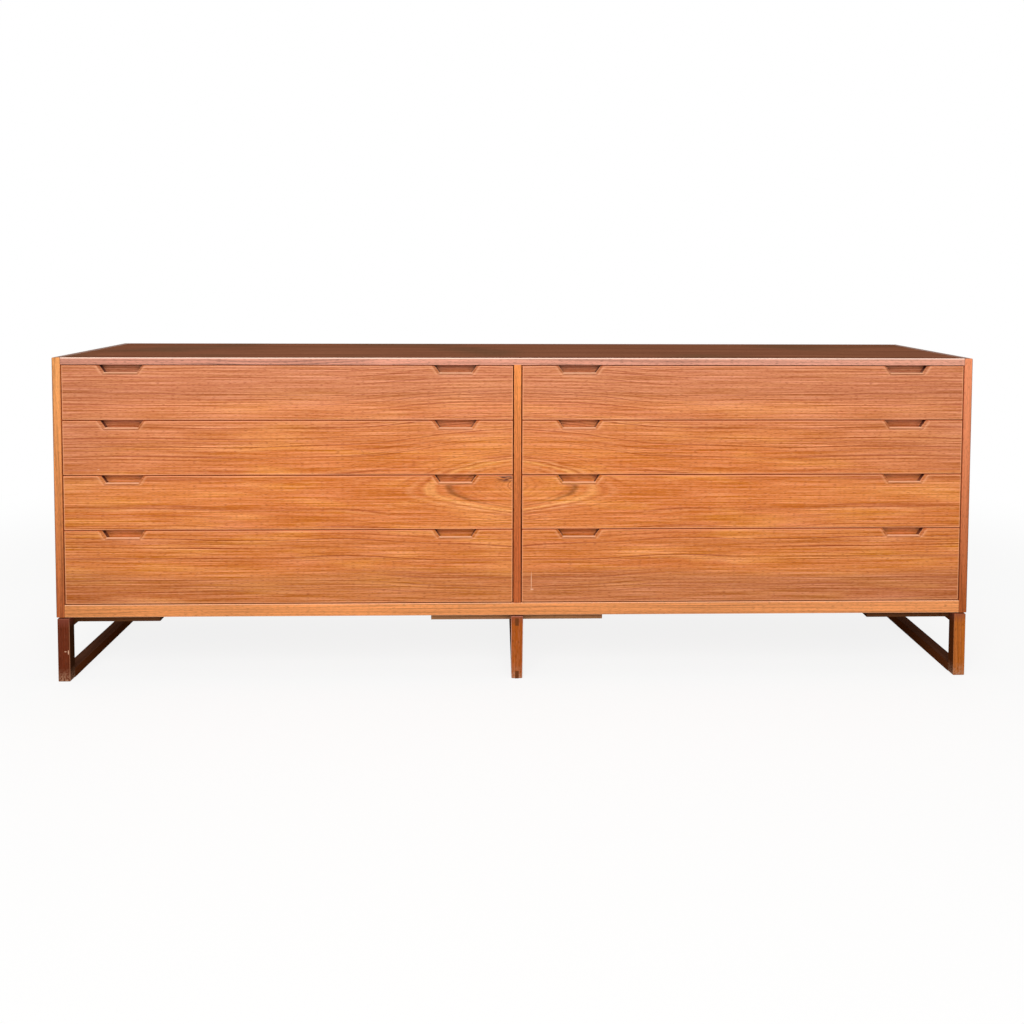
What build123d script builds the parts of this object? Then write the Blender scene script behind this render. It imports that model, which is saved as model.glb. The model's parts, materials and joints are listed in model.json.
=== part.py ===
from build123d import *
import math
import os

# A low, wide teak dresser. A veneered case holds two columns of four drawers, three shallow rows over
# one deep row, and stands on three sled frames: one at each end and one in the middle.
# +X is to the right, +Y to the back and +Z up. The origin is on the floor below the middle of the case.
# All sizes are in millimetres.

# Case
case_width = 2000.0
case_depth = 450.0
case_height = 566.0
leg_height = 142.0
side_thickness = 18.0
top_thickness = 15.0
bottom_thickness = 27.0
divider_thickness = 16.0
back_thickness = 6.0
tongue_length = 6.0
tongue_thickness = 8.0
tongue_setback = 20.0
back_lap = 8.0
outer_round = 3.0
edge_ease = 1.0

# Drawer fronts
row_count = 4
deep_front_height = 160.0
reveal = 2.0
front_recess = 1.0
front_thickness = 22.0

# Finger pulls, two in the top edge of each front
pull_width = 106.0
pull_height = 21.0
pull_side_angle = 35.0
pull_bevel = 6.0
pull_land = 2.0
pull_undercut = 3.0
pull_back_wall = 5.0
pull_centre_inset = 125.0

# Drawer boxes
side_board = 13.0
side_lift = 6.0
side_drop = 20.0
groove_web = 6.0
back_board = 12.0
back_board_inset = 10.0
back_dado = 4.0
bottom_board = 5.0
bottom_lift = 8.0
bottom_groove = 5.0
space_behind = 15.0

# Half-blind dovetails between front and sides
tail_pitch = 31.0
tail_share = 0.56
tail_flare = 1 / 6
front_lap = 6.0

# Runners that carry the drawers
runner_height = 16.0
runner_rise = 52.0
runner_back_gap = 25.0
side_clearance = 0.5
lift_clearance = 0.3
drop_clearance = 0.7
stop_clearance = 0.3

# Sled frames
frame_side_inset = 2.0
frame_back_inset = 10.0
end_post_width = 26.0
centre_post_top_width = 27.0
centre_post_foot_width = 24.0
post_depth = 28.0
post_gap = 3.0
post_round = 2.0
floor_runner_height = 20.0
rail_width = 24.0
rail_height = 26.0
tenon_thickness = 8.0
floor_tenon_height = 17.0
rail_tenon_height = 16.5
rail_tenon_drop = 4.5
end_tenon_stop = 6.0

# Mounting plates between the sled frames and the case
plate_thickness = 18.0
end_plate_reach = 188.0
centre_plate_reach = 178.0
plate_tongue_length = 5.0
plate_tongue_thickness = 6.0

# Wood screws
head_ratio = 2.0
tip_ratio = 1.2
slot_width = 0.8
slot_depth = 0.9
plate_screw_diameter = 4.5
plate_screw_bite = 17.0
plate_screw_inset = 32.0
runner_screw_diameter = 3.5
runner_screw_bite = 9.0
runner_screw_inset = 50.0
runner_screw_stagger = 16.0
back_screw_diameter = 3.0
back_screw_bite = 10.0
back_screw_pitch = 280.0
back_screw_end = 40.0

# Planes of the case that the pieces share
half_width = case_width / 2
half_depth = case_depth / 2
front_y = -half_depth
case_bottom = leg_height
case_top = leg_height + case_height
inner_half = half_width - side_thickness
bay_floor = case_bottom + bottom_thickness
bay_ceiling = case_top - top_thickness
back_face = half_depth - back_thickness
bay_width = inner_half - divider_thickness / 2
bay_centre = (inner_half + divider_thickness / 2) / 2
tongue_y = (front_y + tongue_setback, back_face)
back_low = bay_floor - back_lap
back_high = bay_ceiling + back_lap

# Planes that the drawers share
face_y = front_y + front_recess
inner_y = face_y + front_thickness
box_end = back_face - space_behind
front_half = bay_width / 2 - reveal
box_half = front_half - side_board
groove_depth = side_board - groove_web
tail_length = front_thickness - front_lap
pull_depth = front_thickness - pull_back_wall
runner_thickness = reveal + groove_depth - side_clearance
runner_y = (inner_y + stop_clearance, back_face - runner_back_gap)
back_board_y = (box_end - back_board_inset - back_board, box_end - back_board_inset)

# Planes that the sled frames share
frame_back = half_depth - frame_back_inset
front_post_y = (front_y, front_y + post_depth)
back_post_y = (frame_back - post_depth, frame_back)
between_posts = (front_post_y[1], back_post_y[0])
post_top = leg_height - post_gap
end_frame_outer = half_width - frame_side_inset
plate_low = leg_height - plate_thickness


def block(x, y, z):
    """A box between two limits on each axis."""
    size = (x[1] - x[0], y[1] - y[0], z[1] - z[0])
    return Pos(x[0], y[0], z[0]) * Box(*size, align=(Align.MIN, Align.MIN, Align.MIN))


def prism_x(outline, x):
    """An outline of (y, z) points carried along X."""
    return extrude(Plane.YZ.offset(x[0]) * Polygon(*outline), x[1] - x[0], dir=(1, 0, 0))


def prism_y(outline, y):
    """An outline of (x, z) points carried along Y."""
    return extrude(Plane.XZ.offset(-y[0]) * Polygon(*outline), y[1] - y[0], dir=(0, 1, 0))


def frustum_y(mouth, throat, y):
    """A solid between two alike outlines of (x, z) points, one on each of two planes across Y."""
    mouth_ring = [(px, y[0], pz) for px, pz in mouth]
    throat_ring = [(px, y[1], pz) for px, pz in throat]
    rings = [mouth_ring, throat_ring]
    for i in range(len(mouth)):
        rings.append([mouth_ring[i - 1], mouth_ring[i], throat_ring[i], throat_ring[i - 1]])
    return Solid(Shell([Face(Wire.make_polygon(ring)) for ring in rings]))


def edges_where(solid, test):
    """The edges whose middle point passes a test."""
    return [edge for edge in solid.edges() if test(edge.center())]


def near(value, target):
    """Whether a coordinate lies on a plane."""
    return abs(value - target) < 0.01


def span(low, high, pitch):
    """Evenly spaced values from low to high, about a pitch apart."""
    steps = max(1, round((high - low) / pitch))
    return [low + (high - low) * i / steps for i in range(steps + 1)]


def mirrored(solids):
    """The same solids on the other side of the middle plane."""
    return [mirror(solid, about=Plane.YZ) for solid in solids]


def screw_body(diameter, length):
    """A countersunk wood screw without its slot, head in the XY plane and point down."""
    shank = diameter / 2
    head = shank * head_ratio
    tip = diameter * tip_ratio
    outline = [(0, 0), (head, 0), (shank, shank - head), (shank, tip - length), (0, -length)]
    return revolve(Plane.XZ * Polygon(*outline), axis=Axis.Z)


def screw(diameter, length):
    """A countersunk wood screw with a slotted head."""
    reach = diameter * head_ratio
    slot = block((-reach, reach), (-slot_width / 2, slot_width / 2), (-slot_depth, slot_depth))
    return screw_body(diameter, length) - slot


def driven(shape, point, direction):
    """A screw with its head at a point, driven in a direction."""
    return Plane(origin=point, z_dir=-Vector(*direction)) * shape


def drawer_rows():
    """The lower edge and height of each row of fronts, from the top row down."""
    free = bay_ceiling - bay_floor - (row_count + 1) * reveal
    shallow = (free - deep_front_height) / (row_count - 1)
    rows = []
    low = bay_ceiling
    for height in [shallow] * (row_count - 1) + [deep_front_height]:
        low -= reveal + height
        rows.append((low, height))
    return rows


def runner_z(row):
    """The height range of the runners of a row."""
    high = row[0] + side_lift + runner_rise
    return (high - runner_height, high)


def wall_of(bay, outer):
    """The X of a bay's outer or inner wall, and the way from it into the bay."""
    x = bay * (inner_half if outer else divider_thickness / 2)
    return x, (-bay if outer else bay)


def runners(bay, outer):
    """The runners on one wall of a bay, one for each row."""
    wall, inward = wall_of(bay, outer)
    x = sorted((wall, wall + inward * runner_thickness))
    strips = [block(x, runner_y, runner_z(row)) for row in drawer_rows()]
    return [strip - runner_screws(bay, outer, screw_body) for strip in strips]


def runner_screws(bay, outer, make):
    """The screws of the runners on one wall, staggered where two walls share the divider."""
    wall, inward = wall_of(bay, outer)
    shape = make(runner_screw_diameter, runner_thickness + runner_screw_bite)
    shift = 0 if outer else bay * runner_screw_stagger / 2
    places = [runner_y[0] + runner_screw_inset + shift, runner_y[1] - runner_screw_inset + shift]
    screws = []
    for row in drawer_rows():
        middle = sum(runner_z(row)) / 2
        for y in places:
            head = (wall + inward * runner_thickness, y, middle)
            screws.append(driven(shape, head, (-inward, 0, 0)))
    return screws


def back_screws(bay, make):
    """The screws round the edge of one back board."""
    shape = make(back_screw_diameter, back_thickness + back_screw_bite)
    reach = back_lap / 2
    rows = span(bay_floor - reach, bay_ceiling + reach, back_screw_pitch)
    columns = span(back_screw_end, inner_half - back_screw_end, back_screw_pitch)
    edge_columns = [divider_thickness / 4, inner_half + reach]
    places = [(x, z) for x in columns for z in (rows[0], rows[-1])]
    places += [(x, z) for x in edge_columns for z in rows[1:-1]]
    return [driven(shape, (bay * x, half_depth, z), (0, -1, 0)) for x, z in places]


def tongue(low, high):
    """The height range of the tongue in the middle of a board's thickness."""
    middle = (low + high) / 2
    return (middle - tongue_thickness / 2, middle + tongue_thickness / 2)


def left_side_panel():
    """The left side, grooved for the top and bottom and rebated for the back."""
    panel = block((-half_width, -inner_half), (front_y, half_depth), (case_bottom, case_top))
    panel = fillet(edges_where(panel, lambda c: near(c.X, -half_width)), outer_round)
    groove_x = (-inner_half - tongue_length, -inner_half)
    for low, high in ((case_bottom, bay_floor), (bay_ceiling, case_top)):
        panel -= block(groove_x, tongue_y, tongue(low, high))
    panel -= block((-inner_half - back_lap, -inner_half), (back_face, half_depth), (back_low, back_high))
    panel -= runner_screws(-1, True, screw_body)
    panel -= back_screws(-1, screw_body)
    return panel


def level_board(low, high, rebate_z, groove_z):
    """A board between the sides with a tongue at each end, a divider groove and a back rebate."""
    board = block((-inner_half, inner_half), (front_y, half_depth), (low, high))
    tongue_half = inner_half + tongue_length
    board += block((-tongue_half, tongue_half), tongue_y, tongue(low, high))
    board -= block((-tongue_half, tongue_half), (back_face, half_depth), rebate_z)
    board -= block((-tongue_thickness / 2, tongue_thickness / 2), tongue_y, groove_z)
    board -= back_screws(-1, screw_body)
    board -= back_screws(1, screw_body)
    return board


def top_panel():
    """The top, with a rounded upper front edge."""
    board = level_board(bay_ceiling, case_top, (bay_ceiling, back_high),
                        (bay_ceiling, bay_ceiling + tongue_length))
    edge = edges_where(board, lambda c: near(c.Y, front_y) and near(c.Z, case_top))
    return fillet(edge, outer_round)


def bottom_panel():
    """The bottom, with eased front edges and pilot holes for the plate screws."""
    board = level_board(case_bottom, bay_floor, (back_low, bay_floor),
                        (bay_floor - tongue_length, bay_floor))
    lengthwise = edges_where(board, lambda c: near(c.Y, front_y) and near(c.X, 0))
    board = chamfer(lengthwise, edge_ease)
    return board - plate_screws(screw_body)


def centre_divider():
    """The upright between the columns, tongued into the top and the bottom."""
    half = divider_thickness / 2
    board = block((-half, half), (front_y, back_face), (bay_floor, bay_ceiling))
    uprights = edges_where(board, lambda c: near(c.Y, front_y) and near(abs(c.X), half))
    board = chamfer(uprights, edge_ease)
    tongue_z = (bay_floor - tongue_length, bay_ceiling + tongue_length)
    board += block((-tongue_thickness / 2, tongue_thickness / 2), tongue_y, tongue_z)
    for bay in (-1, 1):
        board -= runner_screws(bay, False, screw_body)
        board -= back_screws(bay, screw_body)
    return board


def back_panel(bay):
    """One of the two back boards, which meet on the divider."""
    x = sorted((0, bay * (inner_half + back_lap)))
    return block(x, (back_face, half_depth), (back_low, back_high)) - back_screws(bay, screw_body)


def pull_outline(centre, top, inset, undercut=0.0):
    """The trapezoid of a finger pull, drawn in by an inset, let down and carried on above the top edge."""
    slope = math.tan(math.radians(pull_side_angle))
    drawn_in = inset / math.cos(math.radians(pull_side_angle))
    low = top - pull_height + inset - undercut
    high = top + pull_height
    low_half = pull_width / 2 - drawn_in - (top - low) * slope
    high_half = pull_width / 2 - drawn_in + (high - top) * slope
    return [(centre - low_half, low), (centre + low_half, low),
            (centre + high_half, high), (centre - high_half, high)]


def finger_pull(centre, top):
    """The space of a finger pull: a bevelled mouth, a throat and a pocket cut under the lower lip."""
    throat_y = face_y + pull_bevel
    end_y = face_y + pull_depth
    throat_outline = pull_outline(centre, top, pull_bevel)
    mouth = frustum_y(pull_outline(centre, top, 0), throat_outline, (face_y, throat_y))
    throat = prism_y(throat_outline, (throat_y, end_y))
    pocket_outline = pull_outline(centre, top, pull_bevel, pull_undercut)
    return [mouth, throat, prism_y(pocket_outline, (throat_y + pull_land, end_y))]


def side_z(row):
    """The height range of a drawer's side boards."""
    low, height = row
    return (low + side_lift, low + height - side_drop)


def dovetails(x, row):
    """The tails of one side board, which flare towards the front."""
    low, high = side_z(row)
    count = max(2, round((high - low) / tail_pitch))
    pitch = (high - low) / count
    root = pitch * tail_share / 2
    tip = root + tail_length * tail_flare
    tip_y = inner_y - tail_length
    tails = []
    for i in range(count):
        middle = low + (i + 0.5) * pitch
        outline = [(inner_y, middle - root), (tip_y, middle - tip),
                   (tip_y, middle + tip), (inner_y, middle + root)]
        tails.append(prism_x(outline, x))
    return tails


def side_x(centre, side):
    """The X range of a drawer's left or right side board."""
    return sorted((centre + side * box_half, centre + side * front_half))


def bottom_z(row):
    """The height range of a drawer's bottom board."""
    low = side_z(row)[0] + bottom_lift
    return (low, low + bottom_board)


def drawer_front(centre, row):
    """A front with two finger pulls, sockets for the dovetails and a groove for the bottom."""
    low, height = row
    x = (centre - front_half, centre + front_half)
    front = block(x, (face_y, inner_y), (low, low + height))
    front = chamfer(edges_where(front, lambda c: near(c.Y, face_y)), edge_ease)
    for side in (-1, 1):
        pull_centre = centre + side * (front_half - pull_centre_inset)
        front -= finger_pull(pull_centre, low + height)
        front -= dovetails(side_x(centre, side), row)
    groove_x = (centre - box_half, centre + box_half)
    return front - block(groove_x, (inner_y - bottom_groove, inner_y), bottom_z(row))


def drawer_side(centre, side, row):
    """A side board with tails, a runner groove outside and grooves for the bottom and back inside."""
    x = side_x(centre, side)
    low, high = side_z(row)
    board = block(x, (inner_y, box_end), (low, high))
    board += dovetails(x, row)
    outer = centre + side * front_half
    inner = centre + side * box_half
    runner_low, runner_high = runner_z(row)
    groove_z = (runner_low - drop_clearance, runner_high + lift_clearance)
    board -= block(sorted((outer - side * groove_depth, outer)), (inner_y, box_end), groove_z)
    board -= block(sorted((inner, inner + side * bottom_groove)), (inner_y, box_end), bottom_z(row))
    dado_z = (bottom_z(row)[1], high)
    board -= block(sorted((inner, inner + side * back_dado)), back_board_y, dado_z)
    return board


def drawer_back(centre, row):
    """The back board, housed in the sides and standing on the bottom."""
    reach = box_half + back_dado
    return block((centre - reach, centre + reach), back_board_y, (bottom_z(row)[1], side_z(row)[1]))


def drawer_bottom(centre, row):
    """The bottom board, in the grooves of the sides and with a tongue in the front."""
    reach = box_half + bottom_groove
    board = block((centre - reach, centre + reach), (inner_y, box_end), bottom_z(row))
    tongue_x = (centre - box_half, centre + box_half)
    return board + block(tongue_x, (inner_y - bottom_groove, inner_y), bottom_z(row))


def post(foot_x, top_x, y, tenons):
    """A post, rounded but for its foot's edge against the runner, mortised for the bars' tenons."""
    outline = [(foot_x[0], 0), (foot_x[1], 0), (top_x[1], post_top), (top_x[0], post_top)]
    solid = prism_y(outline, y)
    inner = min(y, key=abs)
    rounded = edges_where(solid, lambda c: not (near(c.Z, 0) and near(c.Y, inner)))
    return fillet(rounded, post_round) - tenons


def bar_tenon(x, z, stop):
    """The tenons of a bar, which run into both posts and stop short of their outer faces."""
    y = (front_y + stop, frame_back - stop)
    return block((x - tenon_thickness / 2, x + tenon_thickness / 2), y, z)


def sled_frame(foot_x, top_x, plate_reaches, tenon_stop=0.0):
    """The posts, floor runner, top rail and plates of one sled frame, with no stop to through tenons."""
    foot_middle = sum(foot_x) / 2
    top_middle = sum(top_x) / 2
    floor_tenon = bar_tenon(foot_middle, (0, floor_tenon_height), tenon_stop)
    tenon_high = post_top - rail_tenon_drop
    rail_tenon = bar_tenon(top_middle, (tenon_high - rail_tenon_height, tenon_high), tenon_stop)
    rail_x = (top_middle - rail_width / 2, top_middle + rail_width / 2)
    rail = block(rail_x, between_posts, (leg_height - rail_height, leg_height)) + rail_tenon
    plates = []
    for way, reach in plate_reaches:
        edge = top_middle + way * rail_width / 2
        plate = block(sorted((edge, edge + way * reach)), between_posts, (plate_low, leg_height))
        middle = leg_height - plate_thickness / 2
        half = plate_tongue_thickness / 2
        plate_tongue = block(sorted((edge, edge - way * plate_tongue_length)), between_posts,
                             (middle - half, middle + half))
        rail -= plate_tongue
        plates.append(plate + plate_tongue - plate_screws(screw_body))
    return {
        "front_post": [post(foot_x, top_x, front_post_y, [floor_tenon, rail_tenon])],
        "back_post": [post(foot_x, top_x, back_post_y, [floor_tenon, rail_tenon])],
        "floor_runner": [block(foot_x, between_posts, (0, floor_runner_height)) + floor_tenon],
        "top_rail": [rail],
        "mounting_plate": plates,
    }


def end_frame():
    """The sled frame at the left end, with upright posts and hidden tenons."""
    post_x = (-end_frame_outer, -end_frame_outer + end_post_width)
    return sled_frame(post_x, post_x, [(1, end_plate_reach)], end_tenon_stop)


def centre_frame():
    """The sled frame in the middle, with tapered posts, through tenons and a plate to each side."""
    foot_x = (-centre_post_foot_width / 2, centre_post_foot_width / 2)
    top_x = (-centre_post_top_width / 2, centre_post_top_width / 2)
    return sled_frame(foot_x, top_x, [(-1, centre_plate_reach), (1, centre_plate_reach)])


def plate_screws(make):
    """The screws that hold the mounting plates up against the case, four in each plate."""
    shape = make(plate_screw_diameter, plate_thickness + plate_screw_bite)
    rail_edge = end_frame_outer - end_post_width / 2 - rail_width / 2
    plates = [(-rail_edge, end_plate_reach), (rail_width / 2, centre_plate_reach)]
    screws = []
    for edge, reach in plates:
        for x in (edge + plate_screw_inset, edge + reach - plate_screw_inset):
            for y in (between_posts[0] + plate_screw_inset, between_posts[1] - plate_screw_inset):
                for side in (1, -1):
                    screws.append(driven(shape, (side * x, y, plate_low), (0, 0, 1)))
    return screws


def all_nodes():
    """Every named piece of the dresser with its solids."""
    side = left_side_panel()
    nodes = {
        "left_side_panel": [side],
        "right_side_panel": mirrored([side]),
        "top_panel": [top_panel()],
        "bottom_panel": [bottom_panel()],
        "centre_divider": [centre_divider()],
        "back_panels": [back_panel(-1), back_panel(1)],
        "left_side_runners": runners(-1, True),
        "divider_left_runners": runners(-1, False),
        "divider_right_runners": runners(1, False),
        "right_side_runners": runners(1, True),
    }
    for name, solids in end_frame().items():
        nodes["left_" + name] = solids
        nodes["right_" + name] = mirrored(solids)
    for name, solids in centre_frame().items():
        nodes["centre_" + name] = solids
    for bay_name, bay in (("left", -1), ("right", 1)):
        centre = bay * bay_centre
        for number, row in enumerate(drawer_rows(), start=1):
            drawer = f"{bay_name}_drawer_{number}"
            nodes[drawer + "_front"] = [drawer_front(centre, row)]
            nodes[drawer + "_sides"] = [drawer_side(centre, -1, row), drawer_side(centre, 1, row)]
            nodes[drawer + "_back"] = [drawer_back(centre, row)]
            nodes[drawer + "_bottom"] = [drawer_bottom(centre, row)]
    walls = [(bay, outer) for bay in (-1, 1) for outer in (True, False)]
    nodes["runner_screws"] = [s for bay, outer in walls for s in runner_screws(bay, outer, screw)]
    nodes["back_screws"] = back_screws(-1, screw) + back_screws(1, screw)
    nodes["plate_screws"] = plate_screws(screw)
    return nodes


def main():
    """Write one STEP file for each named piece."""
    os.makedirs("parts", exist_ok=True)
    for name, solids in all_nodes().items():
        bodies = [body for shape in solids for body in shape.solids()]
        whole = bodies[0] if len(bodies) == 1 else Compound(children=bodies)
        export_step(whole, f"parts/{name}.step")


main()
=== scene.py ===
"""The teak dresser in its finishes, with carved drawer fronts, on a pale studio floor."""

import json
import logging
import math
from collections.abc import Iterable
from dataclasses import dataclass, field, replace
from enum import Enum

import bpy
import numpy as np
from mathutils import Matrix, Vector


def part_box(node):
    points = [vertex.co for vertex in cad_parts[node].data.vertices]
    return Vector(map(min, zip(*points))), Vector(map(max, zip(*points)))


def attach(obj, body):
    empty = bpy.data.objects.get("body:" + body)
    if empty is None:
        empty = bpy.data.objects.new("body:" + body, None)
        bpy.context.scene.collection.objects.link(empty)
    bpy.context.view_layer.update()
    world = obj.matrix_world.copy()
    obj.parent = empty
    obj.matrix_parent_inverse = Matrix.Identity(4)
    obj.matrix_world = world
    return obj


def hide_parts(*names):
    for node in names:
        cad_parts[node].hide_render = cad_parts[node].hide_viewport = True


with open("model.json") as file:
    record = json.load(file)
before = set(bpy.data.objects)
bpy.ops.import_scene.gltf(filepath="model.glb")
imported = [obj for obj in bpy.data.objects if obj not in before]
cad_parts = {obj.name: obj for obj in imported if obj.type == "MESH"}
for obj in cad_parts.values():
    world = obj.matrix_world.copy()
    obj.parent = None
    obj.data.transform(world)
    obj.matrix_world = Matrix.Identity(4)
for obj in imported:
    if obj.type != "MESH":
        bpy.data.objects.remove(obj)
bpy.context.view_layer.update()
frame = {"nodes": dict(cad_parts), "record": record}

LOG = logging.getLogger("dresser")
MM = 0.001
PHOTO_PIXELS = 1024
LUMINANCE = np.array([0.2126, 0.7152, 0.0722])
# Ramps from a value to a share: the first and the last value, then the first and the last share.
FACING_RAMP = (0.7, 0.95, 0.0, 0.85)
EDGE_RAMP = (0.85, 0.99, 0.9, 0.0)
CHIP_RAMP = (0.6, 1.0, 0.9, 0.0)

Socket = bpy.types.NodeSocket
Node = bpy.types.Node
Tree = bpy.types.NodeTree
Material = bpy.types.Material
Link = Node | Socket
Layer = tuple[str | Link, ...]
Pair = tuple[float, float]
Triple = tuple[float, float, float]
Shades = tuple[str, str, str]


class GrainAxis(Enum):
    """The frame axis that the grain of a board runs along."""

    ACROSS = 0
    FRONT_TO_BACK = 1
    UPRIGHT = 2


class Column(Enum):
    """The two columns of drawers, either side of the centre divider."""

    LEFT = "left"
    RIGHT = "right"


def linear(hex_colour: str) -> tuple[float, float, float, float]:
    """Turn an sRGB hex colour into linear light.

    Args:
        hex_colour: Six hex digits after a hash sign.

    Returns:
        Linear red, green and blue, with an alpha of one.
    """
    srgb = np.array([int(hex_colour[i:i + 2], 16) for i in (1, 3, 5)]) / 255.0
    light = np.where(srgb <= 0.04045, srgb / 12.92, ((srgb + 0.055) / 1.055) ** 2.4)
    return (*light.tolist(), 1.0)


def metres(sizes_mm: Iterable[float]) -> tuple[float, ...]:
    """Turn millimetres into metres."""
    return tuple(size * MM for size in sizes_mm)


def above(value: np.ndarray, start: float, length: float, most: float = 1.0) -> np.ndarray:
    """Go from zero to the most as a value rises from a start over a length."""
    return most * np.clip((value - start) / length, 0.0, 1.0)


def below(value: np.ndarray, start: float, length: float, most: float = 1.0) -> np.ndarray:
    """Go from zero to the most as a value sinks from a start over a length."""
    return most * np.clip((start - value) / length, 0.0, 1.0)


def bell(value: np.ndarray, middle: float, width: float, most: float = 1.0) -> np.ndarray:
    """Give a bell curve: the most times the power of e of less the square of the distance over the width."""
    return most * np.exp(-(((value - middle) / width) ** 2))


def add(tree: Tree, kind: str, inputs: dict | tuple = (), **settings: object) -> Node:
    """Add one node with its settings, and set or link its inputs.

    Args:
        tree: The node tree that takes the node.
        kind: The node's type name, without the ShaderNode before it.
        inputs: Numbers, hex colours, sockets or nodes, by input name or in the order of the inputs
            that are in use; a node gives its first output in use.
        settings: Properties of the node.

    Returns:
        The new node.
    """
    made = tree.nodes.new(f"ShaderNode{kind}")
    for key, value in settings.items():
        setattr(made, key, value)
    if isinstance(inputs, dict):
        pairs = [(made.inputs[key], value) for key, value in inputs.items()]
    else:
        pairs = list(zip([socket for socket in made.inputs if socket.enabled], inputs))
    for socket, value in pairs:
        if isinstance(value, Node):
            value = next(output for output in value.outputs if output.enabled)
        if isinstance(value, Socket):
            tree.links.new(value, socket)
        else:
            socket.default_value = linear(value) if isinstance(value, str) else value
    return made


def place_axes(tree: Tree) -> tuple[Socket, ...]:
    """Give the place on a piece in metres: across, front to back, and up."""
    place = add(tree, "TexCoord").outputs["Object"]
    return tuple(add(tree, "SeparateXYZ", (place,)).outputs)


def soft_line(tree: Tree, value: Link, middle: float, half: float, most: float, flat: float = 0.0) -> Node:
    """Draw a line where a value comes near a middle.

    Args:
        tree: The material's node tree.
        value: The value across the line.
        middle: The value at the line's middle.
        half: Half the line's width.
        most: The share at the middle.
        flat: How far from the middle the share stays at its most.

    Returns:
        A share that falls smoothly to zero at the line's edges.
    """
    off = add(tree, "Math", (value, middle), operation="SUBTRACT")
    off = add(tree, "Math", (off,), operation="ABSOLUTE")
    return add(tree, "MapRange", (off, flat, half, most, 0.0), interpolation_type="SMOOTHSTEP")


def coat(tree: Tree, colour: str | Link, *layers: Layer) -> Link:
    """Lay coats over a colour, one on another.

    Args:
        tree: The material's node tree.
        colour: The colour underneath.
        layers: The colour of each coat, then the shares that are multiplied for how much of it shows.

    Returns:
        The colour on top.
    """
    for shade, share, *others in layers:
        for other in others:
            share = add(tree, "Math", (share, other), operation="MULTIPLY")
        colour = add(tree, "Mix", (share, colour, shade), data_type="RGBA")
    return colour


def new_material(name: str) -> Material:
    """Make an empty node material.

    Args:
        name: The real material's name.

    Returns:
        The material, with no nodes.
    """
    material = bpy.data.materials.new(name)
    material.use_nodes = True
    material.node_tree.nodes.clear()
    return material


def dress(node: str, material: Material) -> None:
    """Put a material on every slot of a CAD node, and report it.

    Args:
        node: The node's name.
        material: Its finish.
    """
    part = frame["nodes"][node]
    if not part.material_slots:
        part.data.materials.append(material)
    for slot in part.material_slots:
        slot.material = material
    LOG.info("%s: %s", node, material.name)


@dataclass(frozen=True)
class Marks:
    """Soft marks along the grain: their size, their finer detail, and the noise values where they come."""

    length_mm: float
    width_mm: float
    detail: float = 1.0
    span: Pair = (0.25, 0.75)

    def noise(self, tree: Tree, space: Node) -> Node:
        """Draw the marks.

        Args:
            tree: The material's node tree.
            space: Place along the grain and across it.

        Returns:
            A value that wanders about one half.
        """
        scale = (1.0 / (self.length_mm * MM), 1.0 / (self.width_mm * MM), 1.0)
        scaled = add(tree, "VectorMath", (space, scale), operation="MULTIPLY")
        return add(tree, "TexNoise", {"Vector": scaled, "Scale": 1.0, "Detail": self.detail},
                   noise_dimensions="2D")

    def share(self, tree: Tree, space: Node, first: float = 0.0, last: float = 1.0) -> Node:
        """Draw the marks as a share that goes from its first to its last value over the span."""
        return add(tree, "MapRange", (self.noise(tree, space), *self.span, first, last))


@dataclass(frozen=True)
class Nick:
    """A small chip that shows paler wood: its middle and half its size on each axis, in millimetres."""

    middle_mm: Triple
    half_mm: Triple


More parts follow.
